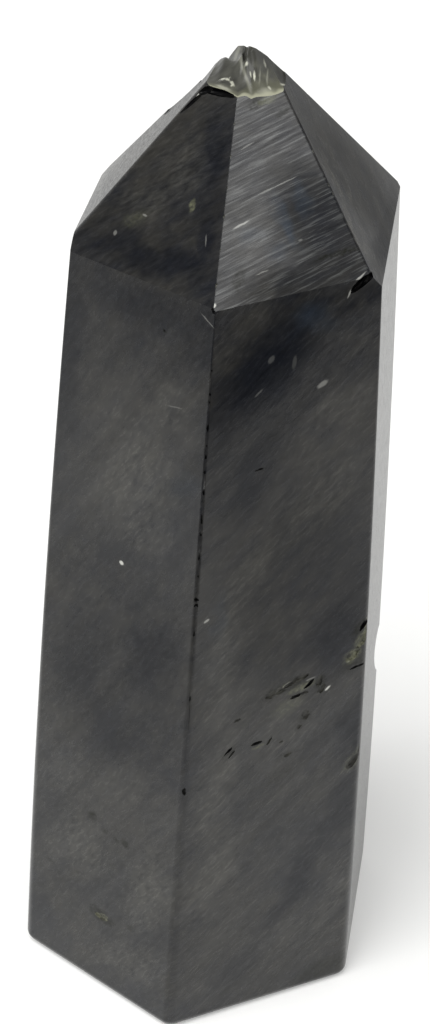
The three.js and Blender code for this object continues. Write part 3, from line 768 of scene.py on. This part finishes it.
def polishedLook():
    look = Look("polishedStone")
    body = look.place()
    grain = look.place("grain")
    face = look.moved(look.place("OFBake"), (chart["span"], chart["span"], 1))
    wavy = look.warped(face, 0.22, 4.5)
    ragged = look.warped(face, 2.2, 0.55)
    ruled = look.attribute("ruled")
    # Strokes left by the polishing, thin and short along the grain of each face
    strokes = look.cloud(look.moved(grain, (1.1, 3.6, 1)), 1, 3, 0.6, 0.35)
    crossing = look.cloud(look.moved(grain, (1.2, 3.4, 1), -30, (7, 3, 0)), 1, 3, 0.6, 0.3)
    hairs = look.cloud(look.moved(grain, (0.3, 8.5, 1), 3, (5, 2, 0)), 1, 2, 0.55)
    blotches = look.cloud(look.moved(grain, (0.42, 0.95, 1), 0, (2, 9, 0)), 1, 4, 0.6, 0.4)
    bands = look.cloud(look.moved(grain, (0.05, 0.85, 1), 0, (9, 1, 0)), 1, 2, 0.5)
    lines = look.cloud(look.moved(grain, (0.26, 4.6, 1), 0, (3, 9, 0)), 1, 3, 0.7, 0.1)
    clouds = look.cloud(body, 105, 4, 0.6, 0.5)
    stroke = look.sum(look.times(strokes, 0.6), look.times(crossing, 0.4))
    # Tone of the polished stone
    stain = look.between(look.sum(look.times(clouds, 0.6), look.times(blotches, 0.4)), 0.38, 0.62)
    tone = look.blend(stain, tones["coolBlack"], tones["warmGrey"])
    pale = look.marked(wavy, "pale", 0.9)
    pale = look.times(pale, look.between(look.sum(strokes, blotches), 0.75, 1.25, 0.35, 1.3))
    tone = look.blend(look.times(pale, 0.75), tone, tones["dust"])
    cool = look.marked(wavy, "cool", 0.8)
    tone = look.blend(cool, tone, tones["blueBlack"])
    # painted blue sheen: a bluish reflection drawn into the colour
    tone = look.blend(look.times(look.marked(wavy, "blue", 0.9), 0.8), tone, tones["paintedBlueSheen"])
    tone = look.scaled(tone, look.between(stroke, 0.36, 0.64, 0.78, 1.24))
    tone = look.scaled(tone, look.between(bands, 0.3, 0.7, 0.85, 1.15))
    tone = look.blend(look.between(hairs, 0.64, 0.8, 0, 0.09), tone, tones["stroke"])
    ruledLight = look.times(look.between(lines, 0.52, 0.78), ruled)
    tone = look.blend(look.times(ruledLight, 0.36), tone, tones["ruledLine"])
    # Stains, crusts and painted glints
    breakUp = look.between(look.cloud(face, 3.2, 4, 0.65), 0.36, 0.6, 0.25, 1)
    stains = look.times(look.marked(ragged, "stain", 0.7), breakUp)
    tone = look.blend(stains, tone, tones["oliveBlack"])
    crust = look.times(look.marked(ragged, "olive", 0.8), breakUp)
    tone = look.blend(crust, tone, tones["olive"])
    # painted glints: small highlights drawn light into the colour
    paintedGlint = look.marked(look.warped(face, 3, 0.12), "paintedGlint", 0.5)
    tone = look.blend(look.times(paintedGlint, 0.7), tone, tones["paintedGlint"])
    # Shine: least where stained, ruled by the lines where those are strong
    shine = look.between(look.sum(strokes, look.times(bands, 0.6)), 0.55, 1.05, 0.33, 0.46)
    shine = look.sum(shine, look.times(look.between(lines, 0.34, 0.7, -0.14, 0.22), ruled))
    shine = look.sum(shine, look.times(look.sum(cool, stains), 0.1), "SUBTRACT")
    dull = look.marked(look.warped(face, 0.35, 1.4), "dull", 0.7)
    shine = look.sum(look.times(shine, look.between(dull, 0, 1, 1, 0.14)), 0.02, "MAXIMUM")
    rough = look.sum(look.between(stroke, 0.36, 0.64, 0.2, 0.3), look.times(stains, 0.2))
    height = look.sum(look.times(stroke, 0.7), look.times(lines, ruled))
    look.set(Base_Color=tone, Roughness=rough, IOR=1.5, Specular_IOR_Level=shine,
             Normal=look.bump(height, 0.000012))
    return look.material


def breakLook():
    look = Look("freshBreak")
    body = look.place()
    face = look.moved(look.place("OFBake"), (chart["span"], chart["span"], 1))
    wavy = look.warped(face, 0.9, 0.7)
    # masks for painted light: a highlight along the thin rim, a glow near it and a highlight on the ridge
    # crest
    rim, paintedGlow, ridge = look.attribute("paintedRimHighlight"), look.attribute("paintedRimGlow"), look.attribute("paintedRidgeHighlight")
    clouds = look.cloud(body, 700, 4, 0.6, 0.3)
    tone = look.blend(look.between(clouds, 0.36, 0.64), (0.034, 0.034, 0.029, 1), (0.066, 0.066, 0.056, 1))
    # painted shade over the hollows of the break
    tone = look.blend(look.times(look.marked(wavy, "breakShade", 0.9), 0.85), tone, (0.014, 0.014, 0.012, 1))
    # painted glow near the thin rim, then painted highlights on the ridge, the crests and the rim
    tone = look.blend(look.times(paintedGlow, 0.45), tone, (0.16, 0.16, 0.11, 1))
    tone = look.blend(look.times(ridge, 0.7), tone, (0.2, 0.2, 0.165, 1))
    tone = look.blend(look.times(look.marked(wavy, "breakLight", 0.8), 0.8), tone, (0.52, 0.52, 0.43, 1))
    tone = look.blend(look.times(rim, 0.6), tone, (0.38, 0.38, 0.28, 1))
    height = look.cloud(look.moved(body, (900, 900, 900)), 1, 3, 0.55)
    look.set(Base_Color=tone, Roughness=0.28, IOR=1.5, Specular_IOR_Level=0.2,
             Normal=look.bump(height, 0.000025))
    return look.material


# Chips, nicks and pits coloured near black: painted shade in their hollows
def paintedShadeChipLook():
    look = Look("paintedShadeChip")
    clouds = look.cloud(look.place(), 1300, 3, 0.55)
    tone = look.blend(look.between(clouds, 0.5, 0.7), (0.0008, 0.0008, 0.001, 1), (0.006, 0.006, 0.005, 1))
    look.set(Base_Color=tone, Roughness=0.3, IOR=1.5, Specular_IOR_Level=0.08,
             Normal=look.bump(clouds, 0.00003))
    return look.material


def softPitLook():
    look = Look("softPit")
    clouds = look.cloud(look.place(), 1100, 4, 0.6)
    tone = look.blend(look.between(clouds, 0.4, 0.66), (0.008, 0.008, 0.0065, 1), (0.032, 0.031, 0.025, 1))
    look.set(Base_Color=tone, Roughness=0.4, IOR=1.5, Specular_IOR_Level=0.25,
             Normal=look.bump(clouds, 0.00005))
    return look.material


def olivePitLook():
    look = Look("olivePit")
    clouds = look.cloud(look.place(), 1500, 5, 0.65)
    tone = look.blend(look.between(clouds, 0.42, 0.66), (0.012, 0.012, 0.007, 1), (0.15, 0.152, 0.1, 1))
    look.set(Base_Color=tone, Roughness=0.45, IOR=1.5, Specular_IOR_Level=0.3,
             Normal=look.bump(clouds, 0.00008))
    return look.material


finishes = {
    "polishedStone": polishedLook(),
    "freshBreak": breakLook(),
    "paintedShadeChip": paintedShadeChipLook(),
    "softPit": softPitLook(),
    "olivePit": olivePitLook(),
}
print("materials ready")


def groundPlanes():
    planes = []
    for i, (name, (turn, atBase, atShoulder)) in enumerate(stone["sides"].items()):
        normal, distance = sidePlane(name)
        planes.append((name, normal, distance, turn, (i * chart["strip"] + chart["middle"], chart["foot"])))
    for i, (name, (turn, slope, peak)) in enumerate(stone["facets"].items()):
        normal = facetNormal(name)
        origin = (i * chart["strip"] + chart["middle"], chart["facetRow"])
        planes.append((name, normal, normal.z * peak, turn, origin))
    planes.append(("base", Vector((0, 0, -1)), 0, 0, None))
    return planes


def unwrap(obj):
    mesh = obj.data
    planes = groundPlanes()
    baked = mesh.uv_layers.new(name="OFBake")
    grain = mesh.uv_layers.new(name="grain")
    ruled = mesh.attributes.new("ruled", "FLOAT", "FACE")
    ruledShare = np.zeros(len(mesh.polygons), np.float32)
    bakedUv = np.zeros((len(mesh.loops), 2), np.float32)
    grainUv = np.zeros((len(mesh.loops), 2), np.float32)
    co = np.array([v.co for v in mesh.vertices]) / mm
    for poly in mesh.polygons:
        centre = poly.center / mm
        inScar = centre.z > 76 and mesh.materials[poly.material_index].name == "freshBreak"
        if poly.material_index == 0:
            nearest = max(planes, key=lambda plane: plane[1].dot(poly.normal))
        else:
            nearest = min(planes, key=lambda plane: abs(plane[1].dot(centre) - plane[2]))
        name, normal, distance, turn, origin = nearest
        ruledShare[poly.index] = chart["ruled"].get(name, 0)
        level = np.array(alongFace(turn))
        uphill = np.array(normal.cross(Vector(level)))
        loops = list(poly.loop_indices)
        points = co[[mesh.loops[i].vertex_index for i in loops]]
        across = points @ level
        along = points @ uphill
        if name == "base":
            x0, y0, scale = chart["base"]
            place = np.stack([x0 + points[:, 0] * scale, y0 + points[:, 1] * scale], 1)
            along = points[:, 1]
        elif inScar:
            x0, y0, scale = chart["scar"]
            forward = points[:, 1] + scar["forward"]
            place = np.stack([x0 + points[:, 0] * scale, y0 + forward * scale], 1)
        elif name.startswith("facet"):
            low = facetPoint(name, 0, chart["facetFoot"]).dot(Vector(uphill))
            place = np.stack([origin[0] + across, origin[1] + along - low], 1)
        else:
            place = np.stack([origin[0] + across, origin[1] + points[:, 2]], 1)
        bakedUv[loops] = place / chart["span"]
        a = math.radians(chart["grain"][name])
        grainUv[loops, 0] = across * math.cos(a) + along * math.sin(a) + 31 * len(name)
        grainUv[loops, 1] = along * math.cos(a) - across * math.sin(a) + 17 * turn
    baked.data.foreach_set("uv", bakedUv.ravel())
    grain.data.foreach_set("uv", grainUv.ravel())
    ruled.data.foreach_set("value", ruledShare)


def frontHeight(x, y):
    heights = []
    for name in ("facetFrontLeft", "facetFrontRight"):
        turn, slope, peak = stone["facets"][name]
        heights.append(peak - math.tan(math.radians(slope)) * outward(turn).dot(Vector((x, y, 0))))
    return min(heights)


# How near each point of the break is to its thin front rim and to the ridge, as masks for the painted glow
# and highlights there
def markScar(obj):
    mesh = obj.data
    values = {name: np.zeros(len(mesh.vertices), np.float32) for name in ("paintedRimHighlight", "paintedRimGlow", "paintedRidgeHighlight")}
    for i, v in enumerate(mesh.vertices):
        p = v.co / mm
        if p.z < 75.5:
            continue
        along, aside, length = ridgePlace(p.x, p.y)
        ragged = 0.5 * noise.noise(p * 2.3)
        gap = (frontHeight(p.x, p.y) - p.z) * (1 + ragged)
        front = smoothStep(0.2, 0.9, -p.y) * smoothStep(-2.6, -2.2, p.x)
        values["paintedRimHighlight"][i] = front * (1 - smoothStep(0.03, 0.16, gap))
        values["paintedRimGlow"][i] = front * (1 - smoothStep(0.05, 0.62, gap))
        crest = math.exp(-((aside + 0.05) / 0.09) ** 2)
        reach = smoothStep(-0.1, 0.5, along) * smoothStep(length + 0.6, length, along)
        values["paintedRidgeHighlight"][i] = crest * reach
    for name, shares in values.items():
        mesh.attributes.new(name, "FLOAT", "POINT").data.foreach_set("value", shares)


def buildStone():
    bm = loftStone()
    grindPoint(bm)
    obj = meshObject("hematitePoint", bm, finishes["polishedStone"])
    for name in ("freshBreak", "paintedShadeChip", "softPit", "olivePit"):
        obj.data.materials.append(finishes[name])
    print("ground form", len(obj.data.polygons), "faces")
    cutAway(obj, allChips(finishes) + [scarWaste(finishes["freshBreak"])])
    print("chips cut", len(obj.data.polygons), "faces")
    mesh = obj.data
    mesh.shade_smooth()
    mesh.set_sharp_from_angle(angle=math.radians(stone["sharpFrom"]))
    unwrap(obj)
    markScar(obj)
    weighted = obj.modifiers.new("weighted", "WEIGHTED_NORMAL")
    weighted.keep_sharp = True
    weighted.weight = 100
    bpy.context.view_layer.objects.active = obj
    bpy.ops.object.modifier_apply(modifier=weighted.name)
    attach(obj, "root")
    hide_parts("hematite_point")


buildStone()
print("stone built")

# Floor, backdrop and lights
studio = {
    "floorSize": 4000,
    "sweepRadius": 400,
    "sweepDistance": 900,
    "darkEdge": (-66, -56),  # the stone mirrors a pale sheet that ends here, then the dark room
    "dimLeft": (-130, -85, 0.35),
    "lights": {  # turn, elevation, distance, size, power
        "keyAbove": (-40, 62, 900, (700, 700), 10.5),
        "fillRight": (60, 41, 800, (420, 420), 1.9),
    },
    "world": 0.3,
}


def buildFloor():
    bm = bmesh.new()
    half, reach, radius = studio["floorSize"] / 2, studio["sweepDistance"], studio["sweepRadius"]
    outline = [(-half, 0)]
    outline += [(reach + radius * math.sin(math.radians(a)), radius * (1 - math.cos(math.radians(a))))
                for a in range(0, 91, 6)]
    outline.append((reach + radius, 1800))
    rows = [[bm.verts.new((x, y, z)) for y, z in outline] for x in (-half, half)]
    for k in range(len(outline) - 1):
        bm.faces.new((rows[0][k], rows[1][k], rows[1][k + 1], rows[0][k + 1]))
    floor = meshObject("floor", bm)
    floor.data.shade_smooth()
    look = Look("paleFloor")
    look.set(Base_Color=(0.7, 0.7, 0.69, 1), Roughness=0.9)
    look.set(Emission_Color=(1, 1, 0.985, 1), Emission_Strength=0.2)
    floor.data.materials.append(look.material)


# A dark card flat on the floor in front, seen by the polished faces alone
def buildDarkCard():
    bm = bmesh.new()
    corners = [(-600, -700), (600, -700), (600, 40), (-600, 40)]
    bm.faces.new([bm.verts.new((x, y, 0.4)) for x, y in corners])
    card = meshObject("darkCard", bm)
    look = Look("darkCard")
    place = look.add("ShaderNodeSeparateXYZ", {0: look.place()})
    low, high = studio["darkEdge"]
    front = look.between(place.outputs[1], low * mm, high * mm, 1, 0)
    far, near, share = studio["dimLeft"]
    left = look.between(place.outputs[0], far * mm, near * mm, share, 0)
    look.set(Base_Color=(0.015, 0.015, 0.018, 1), Roughness=1.0, Alpha=look.sum(front, left, "MAXIMUM"))
    card.data.materials.append(look.material)
    for rays in ("camera", "diffuse", "transmission", "volume_scatter", "shadow"):
        setattr(card, "visible_" + rays, False)


def areaLight(name, turn, elevation, distance, size, power):
    data = bpy.data.lights.new(name, "AREA")
    data.shape = "RECTANGLE"
    data.size, data.size_y = size[0] * mm, size[1] * mm
    data.energy = power
    obj = bpy.data.objects.new(name, data)
    tilt = math.radians(elevation)
    away = outward(turn) * math.cos(tilt) + Vector((0, 0, math.sin(tilt)))
    obj.location = (away * distance + Vector((0, 0, 40))) * mm
    obj.rotation_euler = away.to_track_quat("Z", "Y").to_euler()
    obj.visible_camera = False
    bpy.context.scene.collection.objects.link(obj)


def buildLights():
    for name, settings in studio["lights"].items():
        areaLight(name, *settings)
    world = bpy.data.worlds.new("studio")
    world.use_nodes = True
    background = world.node_tree.nodes["Background"]
    background.inputs[0].default_value = (1, 1, 1, 1)
    background.inputs[1].default_value = studio["world"]
    bpy.context.scene.world = world


buildFloor()
buildDarkCard()
buildLights()
bpy.context.scene.view_settings.view_transform = "Standard"
print("studio ready")
